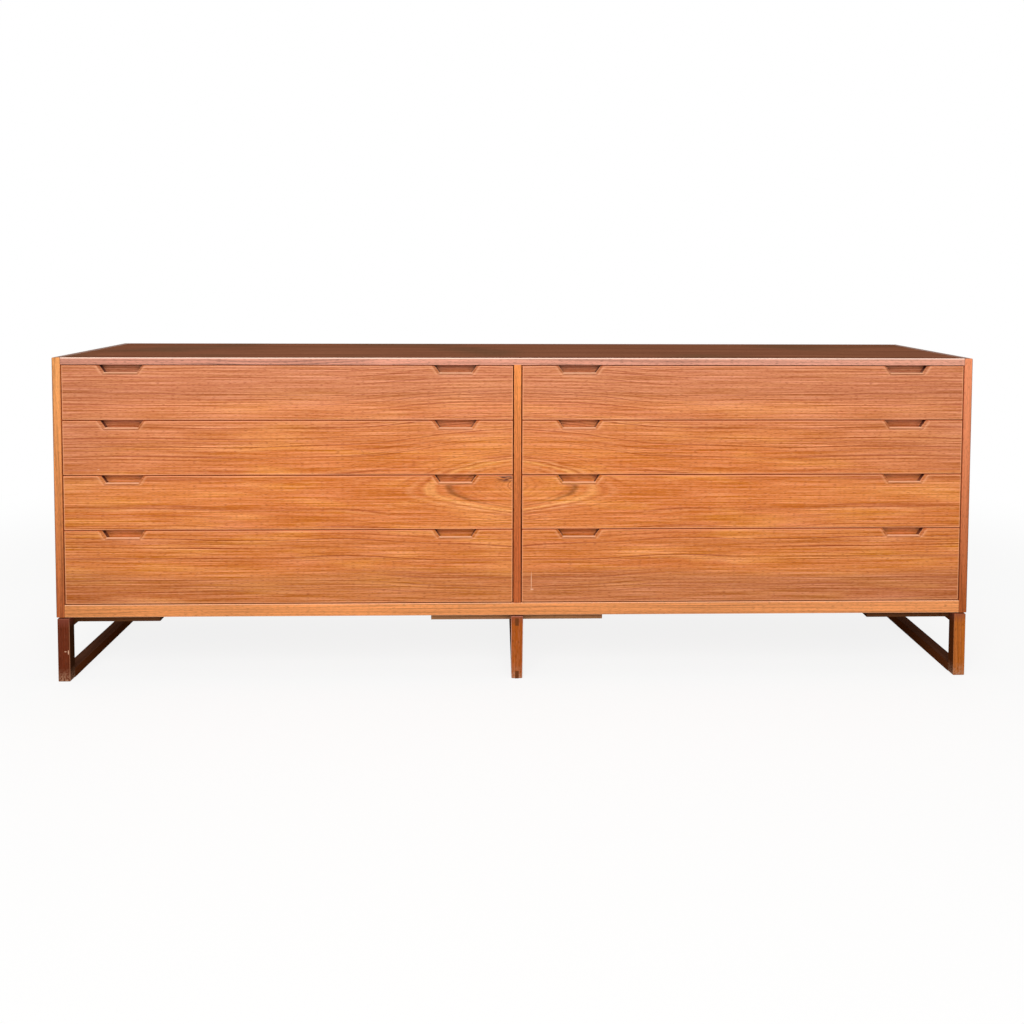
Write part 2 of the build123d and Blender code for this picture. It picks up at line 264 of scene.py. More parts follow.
@dataclass(frozen=True)
class Wood:
    """A planed wood: growth lines, slow bands, streaks and pores drawn along its grain.

    The growth lines are cylinders about a heart that lies off the board, so each face cuts them
    at its own angle. They come in two sizes, the finer one given by its spacing and strength against
    the other. A line's place and greatest width, and the width and depth of its wander, are counted in
    spacings. Pores are under half a millimetre wide in the real wood and are drawn about three times
    as wide, so that they show.
    """

    name: str
    pale: str
    mid: str
    dark: str
    end: str
    fleck: str
    grain: GrainAxis
    # Painted light and shade: a highlight along the rounded edges of most boards, a dark shade along the
    # sides' edges, and painted light and shade on the faces turned across.
    edge_light_and_shade: str | None = None
    painted_flank: str | None = None
    painted_flank_side: int = 0
    heart_mm: Pair = (60.0, -240.0)
    line_mm: float = 9.0
    line_width_mm: float = 1.6
    line_place: float = 0.4
    widest_line: float = 0.3
    fine_lines: Pair = (0.52, 0.7)
    wander_mm: float = 1300.0
    wander_lines: Pair = (4.0, 3.0)
    sway_depth_mm: float = 24.0
    bands: Marks = Marks(700.0, 36.0, 2.0, (0.3, 0.7))
    fading: Marks = Marks(320.0, 30.0, 1.0, (0.35, 0.6))
    swaying: Marks = Marks(800.0, 130.0)
    streaks: Marks = Marks(180.0, 2.6, 3.0)
    flecks: Marks = Marks(18.0, 1.8, 2.0, (0.5, 0.78))
    pores: Marks = Marks(11.0, 1.4, 1.0, (0.56, 0.74))
    line_share: float = 0.85
    faded_share: float = 0.35
    streak_share: float = 0.14
    streak_depth: float = -0.3
    fleck_share: float = 0.3
    pore_share: float = 0.45
    pale_edge: float = 0.3
    pale_edge_off: float = 1.5
    roughness: float = 0.45
    gloss_swing: Pair = (-0.05, 0.07)
    specular: float = 0.3
    ior: float = 1.5
    relief: float = 0.2
    relief_mm: float = 0.2
    # A patch colour: a random tone on the fronts' veneer, a painted reflection on the top.
    patch: str | None = None
    patches: Marks = Marks(210.0, 30.0, 2.0, (0.5, 0.7))
    patch_share: float = 0.6
    nicks: tuple[Nick, ...] = ()
    chip: str = "#F0BE9C"

    def material(self) -> Material:
        """Build the finish.

        Returns:
            The node material.
        """
        made = new_material(self.name)
        tree = made.node_tree
        rings, fibres = self.grain_space(tree)
        streaks = self.streaks.noise(tree, fibres)
        flecks = self.flecks.share(tree, fibres, last=self.fleck_share)
        pores = self.pores.share(tree, fibres, last=self.pore_share)
        swing = self.streak_share
        spans = [(1.0 - swing, 1.0 + swing),
                 (1.0 - self.streak_depth * swing, 1.0 + self.streak_depth * swing),
                 (self.roughness + self.gloss_swing[0], self.roughness + self.gloss_swing[1])]
        value, depth, gloss = (add(tree, "MapRange", (streaks, *self.streaks.span, *span)) for span in spans)
        colour = self.growth_lines(tree, rings, self.ground(tree, rings))
        colour = add(tree, "HueSaturation", {"Saturation": depth, "Value": value, "Color": colour})
        colour = coat(tree, colour, (self.fleck, flecks), (self.dark, pores))
        colour = self.chipped(tree, self.tint(tree, colour))
        height = add(tree, "Math", (streaks, pores), operation="SUBTRACT")
        bump = add(tree, "Bump", {
            "Strength": self.relief, "Distance": self.relief_mm * MM, "Height": height})
        shader = add(tree, "BsdfPrincipled", {
            "Base Color": colour, "Roughness": gloss, "Normal": bump, "IOR": self.ior,
            "Specular IOR Level": self.specular})
        add(tree, "OutputMaterial", {"Surface": shader})
        return made

    def grain_space(self, tree: Tree) -> tuple[Node, Node]:
        """Lay out the grain: growth rings about the heart, and fibres straight along the board.

        Args:
            tree: The material's node tree.

        Returns:
            Vectors in metres of the place along the grain with the ring distance, and with the
            place across the fibres.
        """
        axes = place_axes(tree)
        along, one, two = (axes[(self.grain.value + turn) % 3] for turn in range(3))
        across = add(tree, "CombineXYZ", (one, two))
        ring = add(tree, "VectorMath", (across, (*metres(self.heart_mm), 0.0)), operation="DISTANCE")
        fibre = add(tree, "Math", (one, two), operation="ADD")
        fibres = add(tree, "CombineXYZ", (along, fibre))
        sway = self.swaying.noise(tree, fibres)
        swayed = add(tree, "Math", (sway, self.sway_depth_mm * MM, ring), operation="MULTIPLY_ADD")
        return add(tree, "CombineXYZ", (along, swayed)), fibres

    def ground(self, tree: Tree, rings: Node) -> Link:
        """Colour the wood between its lines: in bands from the middle to the pale colour, then in patches.

        Args:
            tree: The material's node tree.
            rings: Place along the grain and ring distance.

        Returns:
            The colour.
        """
        layers = [(self.pale, self.bands.share(tree, rings))]
        if self.patch:
            board = Wood.grain_space(self, tree)[1]
            layers.append((self.patch, self.patches.share(tree, board, last=self.patch_share)))
        return coat(tree, self.mid, *layers)

    def growth_lines(self, tree: Tree, rings: Node, colour: Link) -> Link:
        """Draw thin growth lines at uneven spacing, each of its own strength and with a pale edge.

        Args:
            tree: The material's node tree.
            rings: Place along the grain and ring distance.
            colour: The colour between the lines.

        Returns:
            The colour with the lines.
        """
        ring = add(tree, "SeparateXYZ", (rings,)).outputs[1]
        fade = self.fading.share(tree, rings, self.faded_share)
        wander_width, wander_depth = self.wander_lines
        for finer, weaker in ((1.0, 1.0), self.fine_lines):
            spacing, strength = finer * self.line_mm, weaker * self.line_share
            width = min(self.widest_line, self.line_width_mm / spacing)
            wander = Marks(self.wander_mm, wander_width * spacing).noise(tree, rings)
            count = add(tree, "Math", (ring, 1.0 / (spacing * MM)), operation="MULTIPLY")
            count = add(tree, "Math", (wander, wander_depth, count), operation="MULTIPLY_ADD")
            which = add(tree, "Math", (count,), operation="FLOOR")
            chance = add(tree, "TexWhiteNoise", {"W": which}, noise_dimensions="1D")
            bold = add(tree, "Math", (chance, fade), operation="MULTIPLY")
            part = add(tree, "Math", (count, which), operation="SUBTRACT")
            for off, shade, most in ((0.0, self.dark, strength),
                                     (self.pale_edge_off, self.fleck, self.pale_edge * strength)):
                drawn = soft_line(tree, part, self.line_place + off * width, width, most)
                colour = coat(tree, colour, (shade, drawn, bold))
        return colour

    def tint(self, tree: Tree, colour: Link) -> Link:
        """Darken the end grain, then paint light and shade on the flanks and along the rounded edges.

        Args:
            tree: The material's node tree.
            colour: The colour of the long grain.

        Returns:
            The colour of every face.
        """
        layers = [(self.end, self.facing(tree, self.grain))]
        # Painted light and shade on the flanks and along the rounded edges.
        if self.painted_flank:
            layers.append((self.painted_flank, self.facing(tree, GrainAxis.ACROSS, self.painted_flank_side)))
        if self.edge_light_and_shade:
            layers.append((self.edge_light_and_shade, self.edges(tree)))
        return coat(tree, colour, *layers)

    def facing(self, tree: Tree, axis: GrainAxis, side: int = 0) -> Node:
        """Find the faces that are turned along an axis.

        Args:
            tree: The material's node tree.
            axis: The axis.
            side: The way they face: 1 or -1 for one way alone, 0 for both.

        Returns:
            A share that is high on those faces and zero on the others.
        """
        normal = add(tree, "TexCoord").outputs["Normal"]
        turned = add(tree, "SeparateXYZ", (normal,)).outputs[axis.value]
        if side:
            turned = add(tree, "Math", (turned, float(side)), operation="MULTIPLY")
        else:
            turned = add(tree, "Math", (turned,), operation="ABSOLUTE")
        return add(tree, "MapRange", (turned, *FACING_RAMP))

    def edges(self, tree: Tree) -> Node:
        """Find the rounded and eased edges, whose normals lie along no axis.

        Args:
            tree: The material's node tree.

        Returns:
            A share that is high along the edges and zero on the faces.
        """
        normal = add(tree, "TexCoord").outputs["Normal"]
        turned = add(tree, "VectorMath", (normal,), operation="ABSOLUTE")
        axes = add(tree, "SeparateXYZ", (turned,)).outputs
        most = add(tree, "Math", (axes[0], axes[1]), operation="MAXIMUM")
        most = add(tree, "Math", (most, axes[2]), operation="MAXIMUM")
        return add(tree, "MapRange", (most, *EDGE_RAMP))

    def chipped(self, tree: Tree, colour: Link) -> Link:
        """Show paler wood in the nicks, each a small ellipsoid about its middle.

        Args:
            tree: The material's node tree.
            colour: The colour of every face.

        Returns:
            The colour with the nicks.
        """
        place = add(tree, "TexCoord").outputs["Object"]
        for nick in self.nicks:
            scale = tuple(1.0 / (half * MM) for half in nick.half_mm)
            off = add(tree, "VectorMath", (place, metres(nick.middle_mm)), operation="SUBTRACT")
            off = add(tree, "VectorMath", (off, scale), operation="MULTIPLY")
            off = add(tree, "VectorMath", (off,), operation="LENGTH")
            colour = coat(tree, colour, (self.chip, add(tree, "MapRange", (off, *CHIP_RAMP))))
        return colour


@dataclass(frozen=True)
class LippedBoard(Wood):
    """A veneered board with a solid strip glued along its front edge, graded from one end to the other.

    The strip runs along the grain: its foot is the low end of an upright board and the left end of a
    flat one. A fine dark line crosses it near its ends: a seam on the flat boards, and a painted shade
    line along the outer edge on the sides. Below a crest it can carry a painted highlight, with a dark
    band behind it. The lines and the highlight begin before their place and reach their full strength
    over a short way.
    """

    lip_top: str = "#EBA05E"
    lip_foot: str = "#B7663A"
    lip_span_mm: Pair = (170.0, 690.0)
    front_mm: float = -225.0
    lip_mm: float = 4.0
    lip_joint_mm: float = 0.2
    # A dark band behind the strip, and a painted highlight along the top of the strip, starting a little
    # below its crest.
    dark_band_mm: float = 20.0
    dark_band_share: float = 0.7
    # A dark line near the ends: a seam on the flat boards, a painted shade line on the sides' outer edge.
    seam_and_shade_line_mm: float | None = None
    seam_and_shade_before_mm: float = 1.4
    seam_and_shade_share: float = 0.75
    highlight_mm: float | None = None
    highlight_before_mm: float = 2.6
    highlight_share: float = 0.8
    blend_mm: float = 0.8

    def tint(self, tree: Tree, colour: Link) -> Link:
        """Colour the front strip, its dark band, its painted highlight and its dark lines, then the ends and
        edges.

        Args:
            tree: The material's node tree.
            colour: The colour of the veneer.

        Returns:
            The colour of every face.
        """
        axes = place_axes(tree)
        joint, blend = (self.front_mm + self.lip_mm) * MM, self.blend_mm * MM
        strip = add(tree, "MapRange", (axes[1], joint, joint + self.lip_joint_mm * MM, 1.0, 0.0))
        along = add(tree, "MapRange", (axes[self.grain.value], *metres(self.lip_span_mm)))
        graded = coat(tree, self.lip_foot, (self.lip_top, along))
        level = float(LUMINANCE @ linear(self.mid)[:3])
        grey = add(tree, "RGBToBW", (colour,))
        value = add(tree, "Math", (grey, level), operation="DIVIDE")
        layers = [(add(tree, "HueSaturation", {"Value": value, "Color": graded}), strip)]
        # A dark band behind the strip, and a painted highlight along the top of the strip.
        if self.highlight_mm:
            dark_band = add(tree, "MapRange", (
                axes[1], joint, joint + self.dark_band_mm * MM, self.dark_band_share, 0.0))
            start = (self.highlight_mm - self.highlight_before_mm) * MM
            highlight_band = add(tree, "MapRange", (axes[2], start, start + blend, 0.0, self.highlight_share))
            layers = [(self.dark, dark_band), *layers, (self.edge_light_and_shade, highlight_band, strip)]
        colour = super().tint(tree, coat(tree, colour, *layers))
        # A dark line near the ends: a seam on the flat boards, a painted shade line on the sides.
        if self.seam_and_shade_line_mm:
            across = add(tree, "Math", (axes[0],), operation="ABSOLUTE")
            start = (self.seam_and_shade_line_mm - self.seam_and_shade_before_mm) * MM
            seam_and_shade = add(tree, "MapRange", (across, start, start + blend, 0.0, self.seam_and_shade_share))
            colour = coat(tree, colour, (self.dark, seam_and_shade, strip))
        return colour


@dataclass(frozen=True)
class PostTeak(Wood):
    """Solid teak of the posts, scuffed pale at the foot, with a painted shade of dull purple at the top,
    under the case.
    """

    scuff_mm: float = 30.0
    scuff_grain_mm: float = 4.0
    scuff_span: Pair = (0.35, 0.65)
    scuff: str = "#B98A6C"
    # Painted shade of dull purple at the top of the post, under the case: where it comes, its share and its
    # colour.
    top_shade_mm: Pair = (118.0, 140.0)
    top_shade_share: float = 0.7
    crown: str = "#8A4A3C"

    def tint(self, tree: Tree, colour: Link) -> Link:
        """Colour the ends, the painted flanks and edges, then the painted shade at the top and the scuffed
        foot.

        Args:
            tree: The material's node tree.
            colour: The colour of the long grain.

        Returns:
            The colour of every face.
        """
        place = add(tree, "TexCoord").outputs["Object"]
        height = place_axes(tree)[2]
        low = add(tree, "MapRange", (height, 0.0, self.scuff_mm * MM, 1.0, 0.0))
        # Painted shade at the top, under the case.
        high = add(tree, "MapRange", (height, *metres(self.top_shade_mm), 0.0, self.top_shade_share))
        scale = 1.0 / (self.scuff_grain_mm * MM)
        mottle = add(tree, "TexNoise", {"Vector": place, "Scale": scale, "Detail": 2.0})
        mottle = add(tree, "MapRange", (mottle, *self.scuff_span))
        return coat(tree, super().tint(tree, colour), (self.crown, high), (self.scuff, low, mottle))


@dataclass(frozen=True)
class FlameVeneer(Wood):
    """Oiled teak veneer on the drawer fronts, one flat-cut sheet book-matched about the divider.

    Pairs of millimetres are the distances over which a share comes or goes: from the fold's height, out
    from the divider, or outwards through the rings.
    """

    # Pink: a pink tone low down, and a painted sky reflection on the top row and the upper rows' outer ends.
    pink_tone_and_reflection: str = "#CE8262"
    golden: str = "#FFB468"
    hook: str = "#8C4A12"
    # Painted highlight on the pulls' lips.
    lip: str = "#FFC69E"
    # Painted highlight along the fronts' eased edges and the edges of the pulls' bevels.
    edge_highlight: str = "#F6B080"
    # Painted red-orange tint on the fronts' rims, which colours the shade lines of the gaps.
    rim: str = "#FF6A30"
    # Painted shade in the pulls' pockets, in the crease below the lip and on the side bevels.
    pocket: str = "#7E4626"
    # Painted shade on the pockets' side walls and in the corners behind them.
    wall_shade: str = "#3C1620"
    knot: str = "#48181E"
    dark_oval_mm: float = 50.0
    golden_oval_mm: float = 57.0
    arm_z_mm: float = 449.0
    fold_z_mm: float = 415.0
    fold_mm: Pair = (10.0, 34.0)
    fold_share: float = 0.9
    past_tips_mm: Pair = (145.0, 175.0)
    core_mm: Pair = (40.0, 46.0)
    core_share: float = 0.7
    tip_mm: Pair = (50.0, 120.0)
    tip_share: float = 0.4
    arm_mm: Pair = (90.0, 190.0)
    arm_share: float = 0.95
    fringe_share: float = 0.35
    breaks: Marks = Marks(45.0, 6.0, 2.0, (0.35, 0.55))
    break_share: float = 0.5
    ripples: Marks = Marks(190.0, 9.0)
    ripple_depth_mm: float = 3.0
    knot_streaks: Marks = Marks(24.0, 2.4, 1.0, (0.36, 0.5))
    tone_depth: float = 0.2

    def grain_space(self, tree: Tree) -> tuple[Node, Node]:
        """Take the ring distance that the fronts carry, with a fine ripple, and fibres along the fronts.

        Args:
            tree: The material's node tree.

        Returns:
            Vectors in metres of the distance from the divider with the ring distance, and with
            the height.
        """
        axes = place_axes(tree)
        along = add(tree, "Math", (axes[0],), operation="ABSOLUTE")
        fibres = add(tree, "CombineXYZ", (along, axes[2]))
        ring = add(tree, "Attribute", attribute_name="ring").outputs["Fac"]
        depth = self.ripple_depth_mm * MM
        ripple = self.ripples.noise(tree, fibres)
        rippled = add(tree, "Math", (ripple, depth, ring), operation="MULTIPLY_ADD")
        rippled = add(tree, "Math", (rippled, 0.5 * depth), operation="SUBTRACT")
        return add(tree, "CombineXYZ", (along, rippled)), fibres

    def ground(self, tree: Tree, rings: Node) -> Link:
        """Colour the sheet between its lines, pinker where the fronts carry their pink tone and painted sky
        reflection.
        """
        pink_tone_and_reflection = add(tree, "Attribute", attribute_name="pink_tone_and_reflection").outputs["Fac"]
        return coat(tree, super().ground(tree, rings), (self.pink_tone_and_reflection, pink_tone_and_reflection))

    def growth_lines(self, tree: Tree, rings: Node, colour: Link) -> Link:
        """Draw the growth lines, with a dark and a golden oval at the heart of the flame.

        Above the third row's top edge the dark oval turns pale. Past the ovals' tips the lines along
        the axis, which would fold back there, are faint.

        Args:
            tree: The material's node tree.
            rings: Distance from the divider and ring distance.
            colour: The colour between the lines.

        Returns:
            The colour with the lines.
        """
        along, ring = add(tree, "SeparateXYZ", (rings,)).outputs[:2]
        height = place_axes(tree)[2]
        flat, half = metres(self.fold_mm)
        level = soft_line(tree, height, self.fold_z_mm * MM, half, self.fold_share, flat)
        past = add(tree, "MapRange", (along, *metres(self.past_tips_mm)))
        fold = add(tree, "Math", (level, past), operation="MULTIPLY")
        straight = add(tree, "Math", (1.0, fold), operation="SUBTRACT")
        lined = add(tree, "MapRange", (ring, *metres(self.core_mm), self.core_share))
        colour = coat(tree, colour, (super().growth_lines(tree, rings, colour), lined, straight))

        tip = add(tree, "MapRange", (along, *metres(self.tip_mm), self.tip_share))
        broken = self.breaks.share(tree, rings, self.break_share)
        arm, fringe = (add(tree, "MapRange", (along, *metres(self.arm_mm), 1.0, last))
                       for last in (self.arm_share, self.fringe_share))
        upper, lower = (add(tree, "Math", (height, self.arm_z_mm * MM), operation=test)
                        for test in ("GREATER_THAN", "LESS_THAN"))
        dark, golden = self.dark_oval_mm, self.golden_oval_mm
        # Each line's ring distance and half width in millimetres, its strength, its colour and its reach.
        ovals = ((dark, 2.6, 0.8, self.hook, tip, lower), (dark, 2.0, 0.35, self.fleck, upper),
                 (golden, 3.0, 0.95, self.golden, arm, broken),
                 (golden + 3.4, 1.2, 0.4, self.dark, fringe, broken),
                 (golden + 6.0, 1.8, 0.6, self.fleck, fringe, broken))
        for oval, half, most, shade, *reach in ovals:
            drawn = soft_line(tree, ring, oval * MM, half * MM, most)
            colour = coat(tree, colour, (shade, drawn, *reach))
        return colour

    def tint(self, tree: Tree, colour: Link) -> Link:
        """Set the sheet's value by its tone, then colour the knot, and lay the painted light and shade of
        the edges and the carved pulls.

        Args:
            tree: The material's node tree.
            colour: The colour of the veneer.

        Returns:
            The colour with the tone, the knot's streaks, and the painted light and shade of the edges and
            the pulls.
        """
        names = ("tone", "knot", "pocket", "edge_highlight", "lip", "wall_shade", "rim")
        tone, knot, *shares = (add(tree, "Attribute", attribute_name=name).outputs["Fac"] for name in names)
        value = add(tree, "Math", (tone, self.tone_depth, 1.0), operation="MULTIPLY_ADD")
        colour = add(tree, "HueSaturation", {"Value": value, "Color": colour})
        streaks = self.knot_streaks.share(tree, self.grain_space(tree)[1])
        # Painted light and shade of the pulls, the edges and the rim.
        layers = [(getattr(self, name), share) for name, share in zip(names[2:], shares)]
        return coat(tree, colour, (self.knot, knot, streaks), *layers)


@dataclass(frozen=True)
class ZincSteel:
    """Zinc-plated steel screws: a bright grey metal with a soft crystalline mottle."""

    name: str = "zinc_plated_steel"
    pale: str = "#B9BCC0"
    dark: str = "#7E8084"
    mottle_mm: float = 1.2
    relief: float = 0.1
    relief_mm: float = 0.05
    gloss: Pair = (0.28, 0.46)

    def material(self) -> Material:
        """Build the finish.

        Returns:
            The node material.
        """
        made = new_material(self.name)
        tree = made.node_tree
        place, scale = add(tree, "TexCoord").outputs["Object"], 1.0 / (self.mottle_mm * MM)
        mottle = add(tree, "TexNoise", {"Vector": place, "Scale": scale, "Detail": 3.0})
        colour = coat(tree, self.dark, (self.pale, mottle))
        gloss = add(tree, "MapRange", (mottle, 0.0, 1.0, *self.gloss))
        bump = add(tree, "Bump", {
            "Strength": self.relief, "Distance": self.relief_mm * MM, "Height": mottle})
        shader = add(tree, "BsdfPrincipled", {
            "Base Color": colour, "Metallic": 1.0, "Roughness": gloss, "Normal": bump})
        add(tree, "OutputMaterial", {"Surface": shader})
        return made


@dataclass(frozen=True)
class FlameFigure:
    """The flame in the fronts' sheet of veneer: nested tongues that open at the divider.

    The ring distance is the root of the squares of the height above the flame's axis and of a
    half-thickness that grows away from the divider, so its contours are long tongues. The growth
    is the root of the distance times the distance plus the throat, blunted at the spread. The axis
    stands higher near the divider, and slow waves bend every contour. A wave has a size, its lengths
    across and up, and a start. A shade has a place, the length over which it comes, and its most.
    """

    centre_x: float = -12.0 * MM
    axis_z: float = 413.5 * MM
    axis_rise: float = 17.0 * MM
    rise_reach: float = 175.0 * MM
    rise_blend: float = 45.0 * MM
    rise_height: float = 200.0 * MM
    core: float = 1.0 * MM
    spread: float = 80.0 * MM
    opening: float = 0.19
    throat: float = 374.0 * MM
    bluntness: float = 4.0
    wave: float = 3.0 * MM
    waves: tuple[tuple[float, ...], ...] = ((1.0, 0.105, 0.19, 0.0), (0.6, 0.058, -0.11, 1.3))
    wave_start: float = 0.25
    wave_least: float = 0.1
    wave_end: Triple = (0.4, 0.4, 0.6)
    low_line: float = 0.243
    low_line_bend: Pair = (0.01, 0.14)
    low_band: Pair = (0.012, -0.6)
    low_row: Triple = (0.36, 0.06, -0.25)
    left_end: Triple = (-0.82, 0.12, -0.3)
    red_band: Triple = (0.632, 0.012, -0.35)
    pale_band: Triple = (0.600, 0.012, 0.35)
    # Where the fronts are pink: a painted sky reflection in the top row and at the upper rows' outer ends, a
    # pink tone low down.
    pink_high: Pair = (0.50, 0.16)
    pink_high_share: float = 0.68
    pink_ends: Triple = (0.55, 0.4, 0.5)
    pink_rows: Pair = (0.38, 0.12)
    pink_low: Triple = (0.243, 0.02, 0.2)
    pink_lean: float = 0.5
    knot_place: Pair = (-0.021, 0.4445)
    knot_half: Pair = (0.022, 0.0072)
    knot_share: float = 0.95

    def ring(self, x: np.ndarray, z: np.ndarray) -> np.ndarray:
        """Give the ring distance of points on the sheet.

        Args:
            x: Places across the case.
            z: Heights.

        Returns:
            Ring distances in metres.
        """
        u = np.abs(x - self.centre_x)
        height = z - self.axis_z
        step = 0.5 - 0.5 * np.tanh(0.5 * (u - self.rise_reach) / self.rise_blend)
        rise = self.axis_rise * step * bell(height, 0.0, self.rise_height)
        bend = sum(size * np.sin(u / across + z / up + start) for size, across, up, start in self.waves)
        envelope = np.clip(u / self.wave_start, self.wave_least, 1.0) * (1.0 - above(u, *self.wave_end))
        v = height - rise + self.wave * bend * envelope
        grown = self.opening * np.sqrt(u * (u + self.throat))
        half = self.core + grown / (1.0 + (grown / self.spread) ** self.bluntness) ** (1.0 / self.bluntness)
        return np.hypot(v, half)

    def layers(self, x: np.ndarray, z: np.ndarray) -> dict[str, np.ndarray]:
        """Give the ring distance, the tone, the pink tone and painted reflection, and the knot of points on
        the sheet.

        The tone is the sum of its shades: darker below a wavy line, in the low row and at the left, with
        a red and a pale band near the top. The pink is a painted sky reflection in the top row and at the
        outer ends of the upper rows, and a pink tone low down, there more at the right. The knot beside the
        divider is a blunt bell: the power of e of less the fourth powers of its distances.

        Args:
            x: Places across the case.
            z: Heights.

        Returns:
            Ring distances in metres, tones from about minus one to one, and shares of the others.
        """
        bend, length = self.low_line_bend
        wavy = self.low_line + bend * np.sin(np.abs(x) / length)
        tone = (below(z, wavy, *self.low_band) + bell(z, *self.red_band) + bell(z, *self.pale_band)
                + below(z, *self.low_row) + below(x, *self.left_end))
        high = above(z, *self.pink_high)
        outer = above(np.abs(x), *self.pink_ends) * above(z, *self.pink_rows)
        low = (1.0 + self.pink_lean * np.sign(x)) * below(z, *self.pink_low)
        pink_tone_and_reflection = self.pink_high_share * high + outer * (1.0 - high) + low
        off = sum(((value - middle) / half) ** 4
                  for value, middle, half in zip((x, z), self.knot_place, self.knot_half))
        return {"ring": self.ring(x, z), "tone": tone, "pink_tone_and_reflection": pink_tone_and_reflection,
                "knot": self.knot_share * np.exp(-off)}


@dataclass(frozen=True)
class FingerPull:
    """One finger pull: a trapezoid carved down from the top edge of a front.

    Its bevel runs in from the outline on a curve, and behind the lip a pocket is let down so that
    fingers can hook under. A painted highlight lies on the lip over a part of the bevel, and painted
    shade lies in the pocket, in the crease below the lip, on the side bevels and on the side walls.
    The shades of the crease and of the flank have a place, the length over which they come, and their
    most. Pairs of shares are the least and what adds to it.
    """

    centre: float
    top: float
    depth: float
    half_width: float = 53.0 * MM
    height: float = 21.0 * MM
    side_slope: float = math.tan(math.radians(35.0))
    bevel: float = 6.0 * MM
    bevel_start: float = math.tan(math.radians(25.0))
    land: float = 2.0 * MM
    undercut: float = 3.0 * MM
    corner: float = 3.5 * MM
    wall: float = 0.05 * MM
    bevel_margin: float = 0.5 * MM
    bevel_steps: int = 9
    floor_steps: int = 10
    # Painted light and shade: the lip's highlight, the shade of the crease and of the side bevels, thin
    # highlights along the bevels' edges, and shade in the pocket and behind the side walls.
    lip_highlight_part: Pair = (0.55, 0.15)
    lip_highlight_share: float = 0.8
    crease_shade: Triple = (0.0, 0.7 * MM, 0.4)
    painted_flank: Triple = (0.0, 2.0 * MM, 0.15)
    outer_highlight: Pair = (0.4 * MM, 0.7 * MM)
    inner_highlight: float = 0.9 * MM
    pocket_shade: Pair = (6.0 * MM, 9.0 * MM)
    pocket_shade_shares: Pair = (0.05, 0.5)
    wall_shade_fade: float = 1.8 * MM
    wall_shade_shares: Pair = (0.55, 0.4)

    @property
    def low(self) -> float:
        """Height of the outline's lower edge."""
        return self.top - self.height

    @property
    def low_half(self) -> float:
        """Half the width of the outline's lower edge."""
        return self.half_width - self.height * self.side_slope

    def bevel_places(self) -> np.ndarray:
        """Distances in from the outline over the bevel."""
        return np.linspace(0.0, self.bevel, self.bevel_steps)

    def columns(self) -> tuple[np.ndarray, np.ndarray]:
        """Place the grid's columns over the pull: over each bevel, its side wall and the corner behind it.

        Returns:
            Column places at the outline's lower edge, and the slope that each takes above it.
        """
        onward = np.append(self.wall * np.array([0.4, 1.0, 2.0]), self.wall_shade_fade)
        inward = np.append(self.bevel_places(), self.bevel + onward) * math.hypot(1.0, self.side_slope)
        left = self.centre - self.low_half + inward
        right = self.centre + self.low_half - inward[::-1]
        middle = np.linspace(left[-1], right[0], self.floor_steps)[1:-1]
        slopes = np.concatenate([np.full(left.size, -1.0), np.linspace(-1.0, 1.0, self.floor_steps)[1:-1],
                                 np.full(right.size, 1.0)])
        return np.concatenate([left, middle, right]), slopes * self.side_slope

    def side_distance(self, x: np.ndarray, z: np.ndarray) -> np.ndarray:
        """Measure how far places and heights lie in from the nearer slanted side, positive inside."""
        reach = self.low_half + (z - self.low) * self.side_slope - np.abs(x - self.centre)
        return reach / math.hypot(1.0, self.side_slope)

    def inward(self, x: np.ndarray, z: np.ndarray) -> np.ndarray:
        """Measure how far points lie in from the whole outline, rounding its lower corners.

        The two distances are joined by a smooth minimum: the smaller one, less a quarter of the
        square of how near they are, over the corner's size.

        Args:
            x: Places across the front.
            z: Heights.

        Returns:
            Distances, positive inside.
        """
        side, foot = self.side_distance(x, z), z - self.low
        near = np.clip(self.corner - np.abs(side - foot), 0.0, None)
        return np.minimum(side, foot) - 0.25 * near**2 / self.corner

    def carve(self, distance: np.ndarray) -> np.ndarray:
        """Give the depth at distances in: a slope plus a square term that reaches the bevel's size."""
        d = np.clip(distance, 0.0, self.bevel)
        return self.bevel_start * d + (1.0 - self.bevel_start) * d**2 / self.bevel


